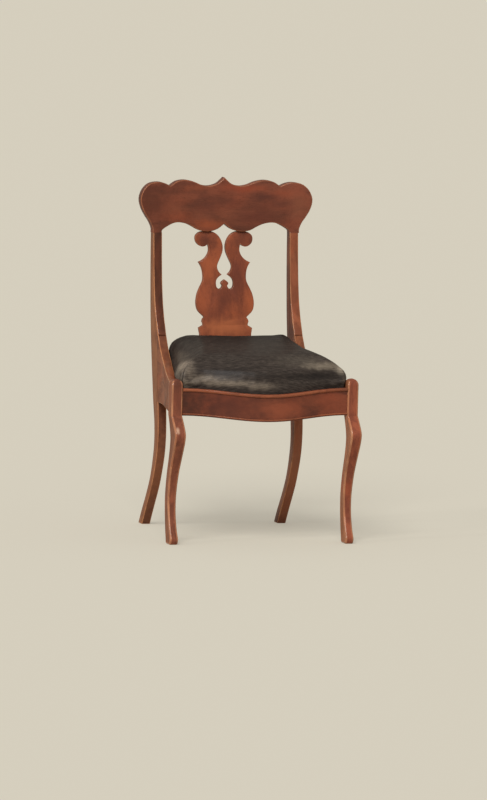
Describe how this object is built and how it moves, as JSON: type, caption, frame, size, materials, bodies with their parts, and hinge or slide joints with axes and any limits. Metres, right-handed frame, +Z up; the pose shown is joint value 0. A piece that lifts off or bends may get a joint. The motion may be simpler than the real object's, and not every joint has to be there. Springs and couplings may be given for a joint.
{
  "type": "lyre back side chair",
  "caption": "Mahogany side chair with a shaped crest rail, a pierced lyre splat, swept back posts, curved legs, a serpentine seat rail and a lift-out black horsehair seat.",
  "frame": {"origin": "on the floor, under the middle of the box round the chair", "axes": "+Z up, the chair faces -Y, +X to its right as the viewer sees it from the front"},
  "size_m": [0.474, 0.5152, 0.865],
  "materials": {
    "mahogany": "oiled, low sheen",
    "figured_mahogany": "french polish, figured veneer",
    "bead_mahogany": "polished, paler along the edge",
    "ash": "unpolished",
    "horsehair_cloth": "satin weave with a soft sheen",
    "curled_hair": "matt",
    "linen": "matt plain weave",
    "jute": "matt coarse weave",
    "iron": "dull, lightly oxidised"
  },
  "bodies": {
    "chair_frame": {"right_back_post": "mahogany", "left_back_post": "mahogany", "right_side_rail": "mahogany", "left_side_rail": "mahogany", "right_front_leg": "mahogany", "left_front_leg": "mahogany", "front_rail": "mahogany", "front_rail_top_bead": "bead_mahogany", "front_rail_lower_bead": "bead_mahogany", "back_rail": "mahogany", "splat_shoe": "mahogany", "lyre_splat": "figured_mahogany", "crest_rail": "figured_mahogany", "right_front_corner_block": "ash", "left_front_corner_block": "ash", "right_rear_corner_block": "ash", "left_rear_corner_block": "ash", "right_front_block_rail_screw": "iron", "left_front_block_rail_screw": "iron", "right_front_block_side_screw": "iron", "left_front_block_side_screw": "iron", "right_rear_block_rail_screw": "iron", "left_rear_block_rail_screw": "iron", "right_rear_block_side_screw": "iron", "left_rear_block_side_screw": "iron", "right_seat_ledger": "ash", "left_seat_ledger": "ash", "back_seat_ledger": "ash"},
    "slip_seat": {"seat_frame_front": "ash", "seat_frame_back": "ash", "right_seat_frame": "ash", "left_seat_frame": "ash", "webbing_length_1": "jute", "webbing_cross_1": "jute", "webbing_length_2": "jute", "webbing_cross_2": "jute", "webbing_length_3": "jute", "webbing_cross_3": "jute", "base_cloth": "linen", "seat_stuffing": "curled_hair", "seat_cover": "horsehair_cloth"}
  },
  "joints": [
    {"name": "seat_lift", "type": "slide", "parent": "chair_frame", "child": "slip_seat", "axis": [0, 0, 1], "range_m": [0, 0.12]}
  ]
}
